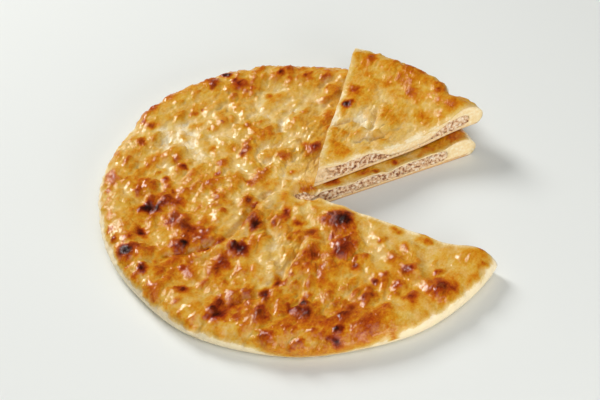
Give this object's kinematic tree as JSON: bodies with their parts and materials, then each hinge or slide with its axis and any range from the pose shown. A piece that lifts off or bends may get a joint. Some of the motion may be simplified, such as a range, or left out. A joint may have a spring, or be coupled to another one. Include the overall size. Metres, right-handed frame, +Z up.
{
  "type": "chicken pie",
  "caption": "Flat round baked dough pie filled with minced chicken, with a wedge cut out and laid on top beside the gap.",
  "frame": {"origin": "middle of the box round the pie and its slice, at the level of the flat base", "axes": "+Z up through the thickness; +X towards the open mouth of the cut-out wedge; +Y towards the back, where the slice lies"},
  "size_m": [0.3134, 0.3178, 0.0429],
  "materials": {
    "baked_dough": "baked yeast dough, golden with brown blisters, brushed with butter",
    "minced_chicken": "cooked minced chicken, moist and crumbly at the cut"
  },
  "bodies": {
    "root": {"pie_crust": "baked_dough", "pie_filling": "minced_chicken", "slice_crust": "baked_dough", "slice_filling": "minced_chicken"}
  },
  "joints": []
}
